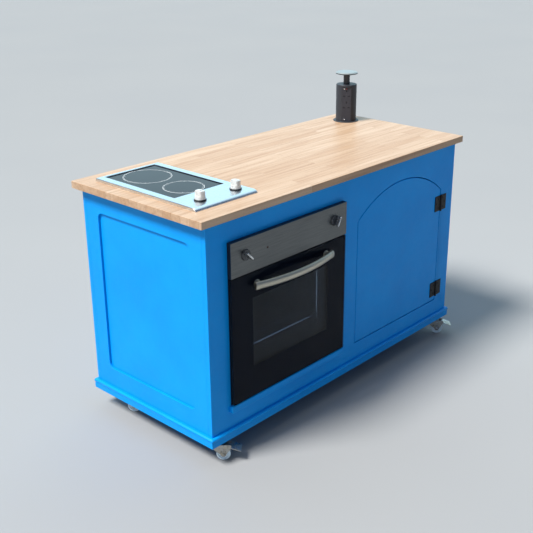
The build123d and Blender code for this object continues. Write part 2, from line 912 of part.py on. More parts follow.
with BuildPart() as latch_body:
    fill(
        (divider_right, plunger_x + plunger_radius + latch_wall),
        (latch_front, latch_back),
        both_ways(latch_z, latch_half_height),
    )
    with BuildSketch(Plane.XZ.offset(-latch_front)):
        with Locations((plunger_x, latch_z)):
            Circle(plunger_radius + 2 * shaft_clearance)
    extrude(amount=latch_front - latch_back + latch_wall, mode=Mode.SUBTRACT)
save(latch_body, "latch_body")

with BuildPart() as latch_plunger:
    with BuildSketch(Plane.XZ.offset(-(inner_front + plunger_gap))):
        with Locations((plunger_x, latch_z)):
            Circle(plunger_radius)
    extrude(amount=-plunger_length)
    fillet(latch_plunger.edges().sort_by(Axis.Y)[:1], 1)
save(latch_plunger, "latch_plunger")

# ---------------------------------------------------------------- socket tower

turn = math.radians(tower_turn)
tower_plane = Plane((tower_x, tower_y, 0), x_dir=(math.cos(turn), math.sin(turn), 0))
panel_width = 41
panel_flat = 36
panel_bottom = tower_bottom + 55
panel_top = tower_top - 8
panel_depth = 4.5
socket_levels = (panel_top - 29, panel_top - 80)
socket_gap = 0.2
earth_slot = (4.2, 8.6)
live_slot = (7, 4.2)
slot_spacing = 11
collar_radius = 57
collar_height = 3
sleeve_drop = 15

with BuildPart() as tower_body:
    with BuildSketch(tower_plane.offset(tower_bottom)):
        Circle(tower_radius)
    extrude(amount=tower_top - tower_bottom)
    fillet(tower_body.edges().sort_by(Axis.Z)[-1:], 2.5)
    with BuildSketch(tower_plane.offset(panel_bottom)):
        with Locations((0, -panel_flat)):
            Rectangle(panel_width, tower_radius, align=(Align.CENTER, Align.MAX))
    extrude(amount=panel_top - panel_bottom, mode=Mode.SUBTRACT)
save(tower_body, "tower_body")

outward = (math.sin(turn), -math.cos(turn), 0)
socket_origin = tower_plane.from_local_coords(Vector(0, -panel_flat - panel_depth, 0))
socket_face = Plane(socket_origin, x_dir=(math.cos(turn), math.sin(turn), 0), z_dir=outward)

with BuildPart() as tower_sockets:
    with BuildSketch(socket_face):
        with Locations((0, (panel_bottom + panel_top) / 2)):
            Rectangle(panel_width - 2 * socket_gap, panel_top - panel_bottom - 2 * socket_gap)
        for level in socket_levels:
            with Locations((0, level + slot_spacing)):
                Rectangle(*earth_slot, mode=Mode.SUBTRACT)
            with Locations([(side * slot_spacing, level - slot_spacing) for side in (-1, 1)]):
                Rectangle(*live_slot, mode=Mode.SUBTRACT)
    extrude(amount=-panel_depth)
save(tower_sockets, "tower_sockets")

neck_radius = 14
cone_bottom = cap_top - 17
rim_bottom = cap_top - 8
rim_top = cap_top - 4
rim_slope = 6

with BuildPart() as tower_cap:
    with BuildSketch(Plane((tower_x, tower_y, 0), x_dir=(1, 0, 0), z_dir=(0, -1, 0))):
        with BuildLine():
            Polyline(
                (0, cap_top),
                (0, tower_top),
                (neck_radius, tower_top),
                (neck_radius, cone_bottom),
                (tower_radius, rim_bottom),
                (cap_radius, rim_bottom),
                (cap_radius, rim_top),
                (cap_radius - rim_slope, cap_top),
                close=True,
            )
        make_face()
    revolve(axis=Axis((tower_x, tower_y, 0), (0, 0, 1)))
save(tower_cap, "tower_cap")

with BuildPart() as tower_sleeve:
    with BuildSketch(Plane.XY.offset(worktop_height)):
        with Locations((tower_x, tower_y)):
            Circle(collar_radius)
    extrude(amount=collar_height)
    fillet(tower_sleeve.edges().sort_by(Axis.Z)[-1:], 1.5)
    sleeve_length = worktop_height - tower_bottom + sleeve_drop
    with BuildSketch(Plane.XY.offset(tower_bottom - sleeve_drop)):
        with Locations((tower_x, tower_y)):
            Circle(sleeve_radius)
    extrude(amount=sleeve_length)
    with BuildSketch(Plane.XY.offset(tower_bottom - sleeve_drop)):
        with Locations((tower_x, tower_y)):
            Circle(sleeve_bore)
    extrude(amount=sleeve_length + collar_height, mode=Mode.SUBTRACT)
save(tower_sleeve, "tower_sleeve")

# ---------------------------------------------------------------- casters

kingpin_radius = 6
kingpin_rise = 12.5
crown_top = 62
crown_thickness = 4
head_radius = 21
head_rise = 8
race_radius = 17
race_rise = 10
cheek = 3
cheek_inside = wheel_width / 2 + 1.7
ear_reach = {"front": 27, "back": 14}
ear_depth = 12
boss = 10
axle_end = 1.5
hub_radius = 9
hub_width = wheel_width + 2
rim_radius = 19
web_width = wheel_width - 8
pedal_pivot = (-20, 54)
pedal_pin = 2
pedal_barrel = 4
pedal_arm = 10
pedal_play = 0.5
foot_width = 44
foot_near = 9
foot_far = 42
foot_drop = 12.2
foot_thickness = 3

with BuildPart() as caster_plates:
    for _, x, y in caster_places:
        with BuildSketch(Plane.XY.offset(plate_bottom)):
            with Locations((x, y)):
                RectangleRounded(caster_plate, caster_plate, 6)
                Circle(kingpin_radius + shaft_clearance, mode=Mode.SUBTRACT)
                with GridLocations(bolt_spacing, bolt_spacing, 2, 2):
                    Circle(bolt_radius + shaft_clearance, mode=Mode.SUBTRACT)
        extrude(amount=plate_thickness)
save(caster_plates, "caster_plates")


def swivelled(piece, x, y):
    """The piece turned about its caster's kingpin, to the way that the casters point."""
    with BuildPart() as turned:
        add(piece.part.rotate(Axis((x, y, 0), (0, 0, 1)), caster_swivel))
    return turned


def make_fork(name, x, y, braked):
    """The swivelling fork, with its riveted axle, kingpin and brake pin."""
    axle_y = y - caster_trail
    with BuildPart() as fork:
        with Locations((x, y, crown_top)):
            for radius, rise in (
                (head_radius, head_rise),
                (race_radius, race_rise),
                (kingpin_radius, kingpin_rise),
            ):
                Cylinder(radius, rise, align=(Align.CENTER, Align.CENTER, Align.MIN))
        nose = axle_y - ear_reach["front" if braked else "back"]
        fill(
            both_ways(x, cheek_inside + cheek),
            (axle_y - boss, y + head_radius),
            (crown_top - crown_thickness, crown_top),
        )
        for inner in (x - cheek_inside - cheek, x + cheek_inside):
            with BuildSketch(Plane.YZ.offset(inner)):
                with BuildLine():
                    Polyline(
                        (nose, crown_top),
                        (nose, crown_top - ear_depth),
                        (axle_y - boss, wheel_radius),
                    )
                    ThreePointArc(
                        (axle_y - boss, wheel_radius),
                        (axle_y, wheel_radius - boss),
                        (axle_y + boss, wheel_radius),
                    )
                    Polyline(
                        (axle_y + boss, wheel_radius),
                        (y + head_radius, crown_top - crown_thickness),
                        (y + head_radius, crown_top),
                        (nose, crown_top),
                    )
                make_face()
            extrude(amount=cheek)
        across = cheek_inside + cheek + axle_end
        with BuildSketch(Plane.YZ.offset(x - across)):
            with Locations((axle_y, wheel_radius)):
                Circle(axle_radius)
        extrude(amount=2 * across)
        if braked:
            with BuildSketch(Plane.YZ.offset(x - cheek_inside - cheek)):
                with Locations((axle_y + pedal_pivot[0], pedal_pivot[1])):
                    Circle(pedal_pin)
            extrude(amount=2 * (cheek_inside + cheek))
    save(swivelled(fork, x, y), f"{name}_fork")


def make_wheel(name, x, y):
    """The nylon wheel, with a sunk web on both faces and a hub round the axle."""
    axle_y = y - caster_trail
    bore = axle_radius + shaft_clearance
    with BuildPart() as wheel:
        with BuildSketch(Plane((x, axle_y, wheel_radius), x_dir=(1, 0, 0), z_dir=(0, -1, 0))):
            with Locations((0, bore)):
                Rectangle(hub_width, hub_radius - bore, align=(Align.CENTER, Align.MIN))
            with Locations((0, hub_radius)):
                Rectangle(web_width, rim_radius - hub_radius, align=(Align.CENTER, Align.MIN))
            with Locations((0, rim_radius)):
                tread = wheel_radius - rim_radius
                tyre = Rectangle(wheel_width, tread, align=(Align.CENTER, Align.MIN))
            fillet(tyre.vertices().group_by(Axis.Y)[-1], 2)
        revolve(axis=Axis((x, axle_y, wheel_radius), (1, 0, 0)))
    save(swivelled(wheel, x, y), f"{name}_wheel")


def make_pedal(name, x, y):
    """The brake pedal: a barrel on the fork's pin and a foot plate that slopes down."""
    pivot_y = y - caster_trail + pedal_pivot[0]
    pivot_z = pedal_pivot[1]
    inside = cheek_inside - pedal_play
    with BuildPart() as pedal:
        with BuildSketch(Plane.YZ.offset(x - inside)):
            with BuildLine():
                Polyline(
                    (pivot_y, pivot_z + pedal_barrel),
                    (pivot_y - pedal_arm, pivot_z + pedal_barrel / 2),
                    (pivot_y - pedal_arm, pivot_z - pedal_barrel / 4),
                    (pivot_y, pivot_z - pedal_barrel),
                )
                ThreePointArc(
                    (pivot_y, pivot_z - pedal_barrel),
                    (pivot_y + pedal_barrel, pivot_z),
                    (pivot_y, pivot_z + pedal_barrel),
                )
            make_face()
        extrude(amount=2 * inside)
        foot_top = pivot_z + pedal_barrel / 2
        foot_low = foot_top - foot_drop
        with BuildSketch(Plane.YZ.offset(x - foot_width / 2)):
            with BuildLine():
                Polyline(
                    (pivot_y - foot_near, foot_top),
                    (pivot_y - foot_far, foot_low),
                    (pivot_y - foot_far, foot_low - foot_thickness),
                    (pivot_y - foot_near, foot_top - foot_thickness),
                    close=True,
                )
            make_face()
        extrude(amount=foot_width)
        with BuildSketch(Plane.YZ.offset(x - inside)):
            with Locations((pivot_y, pivot_z)):
                Circle(pedal_pin + shaft_clearance)
        extrude(amount=2 * inside, mode=Mode.SUBTRACT)
        fillet(pedal.edges().filter_by(Axis.Z).sort_by(Axis.Y)[:2], 1)
    save(swivelled(pedal, x, y), f"{name}_brake_pedal")


for name, x, y in caster_places:
    braked = name.startswith("front")
    make_fork(name, x, y, braked)
    make_wheel(name, x, y)
    if braked:
        make_pedal(name, x, y)
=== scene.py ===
import bmesh
import bpy
import json
import math
from functools import partial
from mathutils import Matrix, Vector


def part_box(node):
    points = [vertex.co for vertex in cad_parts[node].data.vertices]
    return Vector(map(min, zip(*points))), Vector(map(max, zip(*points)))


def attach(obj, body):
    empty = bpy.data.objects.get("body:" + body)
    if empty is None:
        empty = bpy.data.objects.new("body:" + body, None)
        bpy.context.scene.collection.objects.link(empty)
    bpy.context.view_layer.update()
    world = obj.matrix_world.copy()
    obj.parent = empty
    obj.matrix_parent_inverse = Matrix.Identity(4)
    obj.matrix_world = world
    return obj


# The looks of a cookery island: materials for every CAD node, small pieces that
# the CAD model leaves out, light, floor and camera. Metres, in the CAD's frame:
# the island's front faces -Y, so outward is the way out of its front.

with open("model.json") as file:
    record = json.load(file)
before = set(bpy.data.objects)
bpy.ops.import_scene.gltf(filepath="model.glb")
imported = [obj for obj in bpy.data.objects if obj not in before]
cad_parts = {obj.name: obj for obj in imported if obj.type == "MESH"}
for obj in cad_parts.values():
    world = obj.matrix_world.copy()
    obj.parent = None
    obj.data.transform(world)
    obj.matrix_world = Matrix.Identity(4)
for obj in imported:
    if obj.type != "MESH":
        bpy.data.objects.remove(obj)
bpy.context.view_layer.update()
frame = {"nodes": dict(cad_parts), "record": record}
record = frame["record"]
mm = 0.001
upward = (0, 0, 1)
outward = (0, -1, 0)


def colour(red, green, blue):
    """A linear colour from the 0-255 values that a paint chart gives."""
    linear = [((value / 255 + 0.055) / 1.055) ** 2.4 for value in (red, green, blue)]
    return (*linear, 1)


# ---------------------------------------------------------------- node builder


class Finish:
    """One material, its Principled shader, and short calls that add nodes to it."""

    def __init__(self, name, **plain):
        self.material = bpy.data.materials.new(name)
        self.material.use_nodes = True
        self.nodes = self.material.node_tree.nodes
        self.links = self.material.node_tree.links
        self.shader = self.nodes["Principled BSDF"]
        self.place = self.nodes.new("ShaderNodeTexCoord").outputs["Object"]
        for socket, value in plain.items():
            self.shader.inputs[socket.replace("_", " ")].default_value = value

    def add(self, kind, inputs, **settings):
        """A node with its settings and inputs; an input is a value or another output."""
        node = self.nodes.new(kind)
        for key, value in settings.items():
            setattr(node, key, value)
        for socket, value in inputs.items():
            if isinstance(value, bpy.types.NodeSocket):
                self.links.new(value, node.inputs[socket])
            else:
                node.inputs[socket].default_value = value
        return node

    def stretched(self, scale, place=None):
        """Coordinates scaled along each axis."""
        inputs = {"Vector": place or self.place, "Scale": scale}
        return self.add("ShaderNodeMapping", inputs).outputs["Vector"]

    def noise(self, scale, detail=3.0, place=None):
        """Noise with the given cells to the metre, from 0 to 1."""
        inputs = {"Vector": place or self.place, "Scale": scale, "Detail": detail}
        return self.add("ShaderNodeTexNoise", inputs).outputs["Fac"]

    def cells(self, scale, output="Color", place=None):
        """Voronoi cells: a colour for each, or the distance to its middle."""
        inputs = {"Vector": place or self.place, "Scale": scale}
        return self.add("ShaderNodeTexVoronoi", inputs).outputs[output]

    def spread(self, value, low, high, start=0.3, end=0.7):
        """A value from start to end, mapped to the range from low to high."""
        inputs = {"Value": value, "From Min": start, "From Max": end, "To Min": low, "To Max": high}
        return self.add("ShaderNodeMapRange", inputs).outputs["Result"]

    def math(self, operation, first, second):
        """One arithmetic step."""
        return self.add("ShaderNodeMath", {0: first, 1: second}, operation=operation).outputs[0]

    def mix(self, factor, first, second, blend="MIX"):
        """Two colours mixed."""
        inputs = {0: factor, 6: first, 7: second}
        node = self.add("ShaderNodeMix", inputs, data_type="RGBA", blend_type=blend)
        return node.outputs[2]

    def beyond(self, axis, level):
        """1 where the object coordinate on the axis is above the level, else 0."""
        parts = self.add("ShaderNodeSeparateXYZ", {"Vector": self.place})
        return self.math("GREATER_THAN", parts.outputs[axis], level)

    def bump(self, height, depth, strength=1.0):
        """Surface relief; depth is in metres."""
        inputs = {"Height": height, "Distance": depth, "Strength": strength}
        normal = self.add("ShaderNodeBump", inputs).outputs["Normal"]
        self.links.new(normal, self.shader.inputs["Normal"])

    def set(self, socket, output):
        """Drive one of the shader's sockets from a node."""
        self.links.new(output, self.shader.inputs[socket])


# ---------------------------------------------------------------- materials


def blue_paint():
    """Satin furniture paint, laid on by roller: soft orange peel and uneven sheen."""
    finish = Finish("blue_paint", Specular_IOR_Level=0.15)
    base, deep, pale = colour(0, 150, 232), colour(0, 141, 224), colour(4, 156, 238)
    cloudy = finish.mix(finish.spread(finish.noise(5), 0, 1), base, deep)
    rolled = finish.spread(finish.noise(90, 2), 0, 0.22)
    finish.set("Base Color", finish.mix(rolled, cloudy, pale))
    finish.set("Roughness", finish.spread(finish.noise(30), 0.34, 0.48))
    finish.bump(finish.noise(420, 2), 0.12 * mm, 0.55)
    return finish.material


def staves(finish, length, width):
    """A random grey for each stave of a glued board, and the thin lines between them."""
    inputs = {
        "Vector": finish.place,
        "Color1": (0, 0, 0, 1),
        "Color2": (1, 1, 1, 1),
        "Mortar": (0.5, 0.5, 0.5, 1),
        "Scale": 1,
        "Mortar Size": 0.3 * mm,
        "Mortar Smooth": 0.6,
        "Brick Width": length,
        "Row Height": width,
    }
    brick = finish.add("ShaderNodeTexBrick", inputs, offset=0.37, offset_frequency=2)
    return brick.outputs["Color"], brick.outputs["Fac"]


def beech():
    """Oiled beech worktop: glued staves, streaky grain, short dark flecks."""
    finish = Finish("beech", Specular_IOR_Level=0.4, Coat_Weight=0.1, Coat_Roughness=0.3)
    stave, joint = staves(finish, 0.62, 0.042)
    shift = finish.add("ShaderNodeVectorMath", {0: stave, 1: (7, 5, 3)}, operation="MULTIPLY")
    place = finish.add(
        "ShaderNodeVectorMath", {0: finish.place, 1: shift.outputs[0]}, operation="ADD"
    ).outputs[0]
    streaks = finish.noise(1, 6, finish.stretched((3.5, 70, 70), place))
    bands = finish.noise(1, 3, finish.stretched((1.2, 22, 22), place))
    flecks = finish.noise(1, 2, finish.stretched((110, 900, 900), place))
    light, warm, dark = colour(196, 168, 140), colour(178, 144, 112), colour(140, 102, 72)
    wood = finish.mix(finish.spread(stave, 0, 1, 0, 1), light, warm)
    wood = finish.mix(finish.spread(bands, 0, 0.55, 0.4, 0.65), wood, warm)
    wood = finish.mix(finish.spread(streaks, 0, 0.5, 0.45, 0.75), wood, dark)
    wood = finish.mix(finish.spread(flecks, 0, 0.6, 0.62, 0.72), wood, colour(96, 64, 42))
    finish.set("Base Color", finish.mix(joint, wood, colour(104, 72, 48)))
    finish.set("Roughness", finish.spread(streaks, 0.38, 0.52))
    finish.bump(finish.mix(0.5, flecks, streaks), 0.08 * mm, 0.35)
    return finish.material


def plain_timber():
    """Unfinished pine boards inside the cabinet."""
    finish = Finish("plain_timber", Specular_IOR_Level=0.25)
    rings = finish.noise(1, 5, finish.stretched((9, 9, 60)))
    pores = finish.noise(1, 2, finish.stretched((60, 60, 700)))
    wood = finish.mix(finish.spread(rings, 0, 1), colour(222, 190, 142), colour(190, 146, 96))
    finish.set("Base Color", finish.mix(finish.spread(pores, 0, 0.4), wood, colour(150, 108, 66)))
    finish.set("Roughness", finish.spread(pores, 0.6, 0.8))
    finish.bump(pores, 0.15 * mm, 0.4)
    return finish.material


def brushed_metal(name, tone, along, roughness, contrast=0.25):
    """Metal with fine lines along one axis; along is the scale on each axis."""
    finish = Finish(name, Metallic=1.0)
    lines = finish.noise(1, 3, finish.stretched(along))
    smears = finish.noise(9, 2)
    dull = tuple(value * (1 - contrast) for value in tone[:3]) + (1,)
    finish.set("Base Color", finish.mix(finish.spread(lines, 0, 1), tone, dull))
    lined = finish.spread(lines, roughness - 0.05, roughness + 0.07)
    finish.set("Roughness", finish.math("ADD", lined, finish.spread(smears, -0.02, 0.05)))
    finish.bump(lines, 0.03 * mm, 0.5)
    return finish


def control_panel_steel():
    """Brushed steel face on a black moulded body, so its sides are dark."""
    tone = colour(108, 111, 112)
    finish = brushed_metal("control_panel_steel", tone, (14, 700, 900), 0.36)
    body = finish.beyond("Y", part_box("oven_control_panel")[0].y + 2.2 * mm)
    face = finish.shader.inputs["Base Color"].links[0].from_socket
    finish.set("Base Color", finish.mix(body, face, colour(20, 22, 28)))
    finish.set("Metallic", finish.math("SUBTRACT", 1.0, body))
    return finish.material


def hob_steel():
    """Satin steel of the pressed hob frame, brushed front to back."""
    return brushed_metal("hob_steel", colour(226, 234, 240), (900, 16, 900), 0.24, 0.08).material


def satin_metal():
    """Warm satin finish of the door handle, lined along the bar."""
    return brushed_metal("satin_metal", colour(190, 186, 172), (18, 900, 900), 0.38, 0.15).material


def galvanised_sheet():
    """Zinc spangle on bent sheet."""
    finish = Finish("galvanised_sheet", Metallic=0.9)
    spangle = finish.cells(70)
    tone = finish.mix(finish.spread(spangle, 0, 1), colour(160, 166, 170), colour(196, 202, 206))
    finish.set("Base Color", tone)
    finish.set("Roughness", finish.spread(spangle, 0.32, 0.55))
    finish.bump(finish.noise(50), 0.2 * mm, 0.3)
    return finish.material


def black_enamel(name, shine):
    """Vitreous enamel: glossy, slightly wavy, with fine pale specks."""
    finish = Finish(name, Specular_IOR_Level=shine)
    specks = finish.spread(finish.noise(900, 1), 0, 0.5, 0.68, 0.74)
    cloudy = finish.mix(finish.noise(12), colour(17, 19, 24), colour(24, 27, 33))
    finish.set("Base Color", finish.mix(specks, cloudy, colour(120, 126, 134)))
    finish.set("Roughness", finish.spread(finish.noise(60), 0.14, 0.26))
    finish.bump(finish.noise(80, 1), 0.08 * mm, 0.4)
    return finish.material


def pane(name, tint):
    """Tinted glass with faint wiping smears; lamps shine through it."""
    finish = Finish(name, Base_Color=tint, Transmission_Weight=1.0, IOR=1.14)
    finish.shader.inputs["Specular IOR Level"].default_value = 0.22
    finish.set("Roughness", finish.spread(finish.noise(14, 5), 0.0, 0.012))
    clear = finish.add("ShaderNodeBsdfTransparent", {"Color": tint})
    shadow = finish.nodes.new("ShaderNodeLightPath").outputs["Is Shadow Ray"]
    both = finish.add(
        "ShaderNodeMixShader", {0: shadow, 1: finish.shader.outputs[0], 2: clear.outputs[0]}
    )
    finish.links.new(both.outputs[0], finish.nodes["Material Output"].inputs["Surface"])
    return finish.material


def hob_ceramic():
    """Black glass ceramic: mirror gloss, faint dots under the surface, wiped smears."""
    finish = Finish("hob_ceramic", Specular_IOR_Level=0.2)
    dots = finish.spread(finish.cells(420, "Distance"), 0.6, 0, 0.1, 0.16)
    finish.set("Base Color", finish.mix(dots, colour(9, 10, 13), colour(30, 33, 40)))
    finish.set("Roughness", finish.spread(finish.noise(10, 5), 0.04, 0.16))
    return finish.material


def lamp_lens():
    """Unlit amber lens with a moulded inner pattern."""
    finish = Finish("lamp_lens", Subsurface_Weight=0.2, Coat_Weight=0.6, Coat_Roughness=0.05)
    facets = finish.cells(900)
    finish.set("Base Color", finish.mix(facets, colour(46, 22, 16), colour(74, 34, 22)))
    finish.set("Roughness", finish.spread(finish.noise(300), 0.15, 0.3))
    return finish.material


def chrome():
    """Bright plating with a little haze."""
    finish = Finish("chrome", Metallic=1.0)
    haze = finish.noise(140, 3)
    tone = finish.mix(finish.spread(haze, 0, 1), colour(226, 228, 230), colour(204, 207, 210))
    finish.set("Base Color", tone)
    finish.set("Roughness", finish.spread(haze, 0.09, 0.2))
    finish.bump(finish.noise(60), 0.03 * mm, 0.3)
    return finish.material


def knob_chrome():
    """The oven knob: a plated grip on a darker skirt that stands on the panel."""
    finish = Finish("knob_chrome", Specular_IOR_Level=0.3)
    skirt = finish.beyond("Y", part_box("oven_knob_left")[0].y + 17 * mm)
    haze = finish.noise(160, 3)
    grip = finish.mix(finish.spread(haze, 0, 1), colour(206, 208, 210), colour(184, 187, 190))
    dark = finish.mix(finish.spread(haze, 0, 1), colour(66, 68, 71), colour(84, 86, 89))
    finish.set("Base Color", finish.mix(skirt, grip, dark))
    finish.set("Metallic", finish.math("SUBTRACT", 1.0, finish.math("MULTIPLY", skirt, 0.5)))
    finish.set("Roughness", finish.spread(haze, 0.16, 0.3))
    finish.bump(finish.noise(60), 0.03 * mm, 0.3)
    return finish.material


def silver_plastic():
    """Metallised knob plastic, softly glossy."""
    finish = Finish("silver_plastic", Metallic=0.35, Coat_Weight=0.25, Coat_Roughness=0.2)
    grain = finish.noise(1500, 2)
    tone = finish.mix(finish.spread(grain, 0, 1), colour(222, 222, 218), colour(204, 204, 200))
    finish.set("Base Color", tone)
    finish.set("Roughness", finish.spread(finish.noise(70), 0.24, 0.38))
    finish.bump(grain, 0.03 * mm, 0.4)
    return finish.material


def moulded_plastic(name, tone, worn, roughness):
    """Spark-textured moulded plastic, with paler rubbed patches."""
    finish = Finish(name, Specular_IOR_Level=0.45)
    texture = finish.noise(1300, 2)
    rubbed = finish.spread(finish.noise(28, 4), 0, 0.6, 0.45, 0.75)
    finish.set("Base Color", finish.mix(rubbed, tone, worn))
    finish.set("Roughness", finish.spread(texture, roughness - 0.07, roughness + 0.07))
    finish.bump(texture, 0.08 * mm, 0.5)
    return finish


def black_plastic():
    """The knob bezels, the oven's switches, the latch's body and the cable grommet."""
    return moulded_plastic("black_plastic", colour(24, 25, 28), colour(38, 39, 43), 0.42).material


def charcoal_plastic():
    """The socket tower's round body and the sleeve that it slides in."""
    return moulded_plastic("charcoal_plastic", colour(46, 49, 55), colour(56, 59, 65), 0.5).material


def socket_plastic():
    """Slightly bluer and smoother than the tower that it sits in."""
    return moulded_plastic("socket_plastic", colour(52, 55, 64), colour(62, 65, 74), 0.4).material


def heater():
    """Steel that heat has tinted brown and blue."""
    finish = Finish("heater", Metallic=0.8)
    patches = finish.noise(18, 4)
    tone = finish.mix(finish.spread(patches, 0, 1), colour(74, 66, 62), colour(70, 78, 98))
    finish.set("Base Color", tone)
    finish.set("Roughness", finish.spread(patches, 0.4, 0.62))
    finish.bump(finish.noise(500), 0.06 * mm, 0.4)
    return finish.material


def seal_rubber():
    """Woven seal: fine diagonal ribs."""
    finish = Finish("seal_rubber", Specular_IOR_Level=0.3)
    ribs = finish.add(
        "ShaderNodeTexWave", {"Vector": finish.place, "Scale": 160}, bands_direction="DIAGONAL"
    ).outputs["Fac"]
    finish.set("Base Color", finish.mix(ribs, colour(34, 34, 36), colour(66, 66, 68)))
    finish.set("Roughness", finish.spread(ribs, 0.6, 0.8, 0, 1))
    finish.bump(ribs, 0.3 * mm, 0.6)
    return finish.material


def hinge_black():
    """Black powder coat: small even lumps."""
    finish = Finish("hinge_black", Specular_IOR_Level=0.3)
    lumps = finish.noise(1100, 2)
    finish.set("Base Color", finish.mix(lumps, colour(12, 13, 15), colour(28, 29, 32)))
    finish.set("Roughness", finish.spread(lumps, 0.42, 0.62))
    finish.bump(lumps, 0.12 * mm, 0.7)
    return finish.material


def zinc():
    """Plated steel: patchy passivation between cool and straw tones."""
    finish = Finish("zinc", Metallic=1.0)
    patches = finish.noise(55, 4)
    grime = finish.spread(finish.noise(120, 5), 0, 0.7, 0.52, 0.72)
    tone = finish.mix(finish.spread(patches, 0, 1), colour(166, 172, 178), colour(176, 170, 154))
    finish.set("Base Color", finish.mix(grime, tone, colour(88, 88, 86)))
    finish.set("Roughness", finish.spread(patches, 0.24, 0.44))
    finish.bump(finish.noise(260), 0.05 * mm, 0.4)
    return finish.material


def nylon():
    """Cool pale moulded nylon, scuffed where it rolls."""
    finish = Finish("nylon", Subsurface_Weight=0.15, Specular_IOR_Level=0.45)
    finish.shader.inputs["Subsurface Radius"].default_value = (2 * mm, 2 * mm, 2.5 * mm)
    scuffs = finish.spread(finish.noise(150, 5), 0, 0.6, 0.5, 0.75)
    finish.set("Base Color", finish.mix(scuffs, colour(222, 240, 250), colour(176, 194, 208)))
    finish.set("Roughness", finish.spread(finish.noise(90), 0.34, 0.52))
    finish.bump(finish.noise(600), 0.06 * mm, 0.5)
    return finish.material


def cap_metal():
    """Silver painted disc on a charcoal neck: the change is at the rim."""
    finish = Finish("cap_metal", Coat_Weight=0.2, Coat_Roughness=0.25)
    disc = finish.beyond("Z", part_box("tower_cap")[1].z - 4.4 * mm)
    grain = finish.noise(700, 3)
    silver = finish.mix(finish.spread(grain, 0, 1), colour(150, 158, 158), colour(136, 144, 144))
    neck = finish.mix(finish.spread(grain, 0, 1), colour(38, 40, 43), colour(52, 54, 58))
    finish.set("Base Color", finish.mix(disc, neck, silver))
    finish.set("Metallic", finish.math("MULTIPLY", disc, 0.35))
    finish.set("Roughness", finish.spread(grain, 0.32, 0.46))
    finish.bump(grain, 0.05 * mm, 0.4)
    return finish.material


def print_ink(name, tone, worn, shine=0.4):
    """Printed or inlaid marks, slightly rubbed."""
    finish = Finish(name, Specular_IOR_Level=shine)
    rubbed = finish.spread(finish.noise(400, 4), 0, 0.7, 0.5, 0.8)
    finish.set("Base Color", finish.mix(rubbed, tone, worn))
    finish.set("Roughness", finish.spread(finish.noise(200), 0.4, 0.6))
    finish.bump(finish.noise(1500), 0.02 * mm, 0.4)
    return finish.material


finishes = {
    "blue_paint": blue_paint(),
    "beech": beech(),
    "plain_timber": plain_timber(),
    "brushed_steel": hob_steel(),
    "galvanised_sheet": galvanised_sheet(),
    "black_enamel": black_enamel("black_enamel", 0.5),
    "door_glass": pane("door_glass", colour(214, 225, 238)),
    "hob_ceramic": hob_ceramic(),
    "lamp_lens": lamp_lens(),
    "chrome": chrome(),
    "silver_plastic": silver_plastic(),
    "satin_metal": satin_metal(),
    "black_plastic": black_plastic(),
    "charcoal_plastic": charcoal_plastic(),
    "heater": heater(),
    "seal_rubber": seal_rubber(),
    "hinge_black": hinge_black(),
    "zinc": zinc(),
    "nylon": nylon(),
    "cap_metal": cap_metal(),
}
oven_knob_finish = knob_chrome()
own_finishes = {
    "oven_control_panel": control_panel_steel(),
    "tower_sockets": socket_plastic(),
    "oven_door_frame": black_enamel("behind_glass", 0.1),
    "oven_inner_glass": pane("inner_glass", colour(238, 242, 246)),
    "oven_knob_left": oven_knob_finish,
    "oven_knob_right": oven_knob_finish,
}
white_ink = print_ink("white_ink", colour(226, 228, 228), colour(170, 172, 172))
dark_ink = print_ink("dark_ink", colour(34, 34, 36), colour(70, 70, 72))
glass_ink = print_ink("glass_ink", colour(6, 14, 27), colour(8, 17, 32), shine=0.05)
red_lens = print_ink("red_lens", colour(150, 24, 24), colour(110, 20, 20))

for subpart in record["subparts"]:
    node = subpart["node"]
    slots = frame["nodes"][node].data.materials
    slots.clear()
    slots.append(own_finishes.get(node) or finishes[subpart["material_slot"]])


# ---------------------------------------------------------------- edges of boards


def soften(node, width):
    """Round a board's sharp arrises a little, as paint and sanding leave them."""
    piece = frame["nodes"][node]
    weld = piece.modifiers.new("weld", "WELD")
    weld.merge_threshold = 0.01 * mm
    bevel = piece.modifiers.new("arris", "BEVEL")
    bevel.width = width
    bevel.segments = 2
    bevel.limit_method = "ANGLE"
    bevel.angle_limit = math.radians(50)
    bevel.harden_normals = True


for board in ("front_frame", "side_frames", "back_panel", "plinth_moulding", "cupboard_shelf"):
    soften(board, 0.9 * mm)


# ---------------------------------------------------------------- mesh helpers


def make_piece(name, body, slot, build, material=None):
    """A piece whose mesh build(bm) makes, riding on a CAD body."""
    sharp = math.radians(35)
    bm = bmesh.new()
    build(bm)
    bmesh.ops.recalc_face_normals(bm, faces=bm.faces)
    for face in bm.faces:
        face.smooth = True
    for edge in bm.edges:
        edge.smooth = edge.calc_face_angle(0) < sharp
    mesh = bpy.data.meshes.new(name)
    bm.to_mesh(mesh)
    bm.free()
    mesh.materials.append(material or finishes[slot])
    piece = bpy.data.objects.new(name, mesh)
    bpy.context.scene.collection.objects.link(piece)
    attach(piece, body)
    return piece


def across(axis):
    """Two directions square to an axis and to each other."""
    axis = Vector(axis).normalized()
    helper = Vector(upward) if abs(axis.z) < 0.9 else Vector((1, 0, 0))
    side = helper.cross(axis).normalized()
    return side, axis.cross(side)


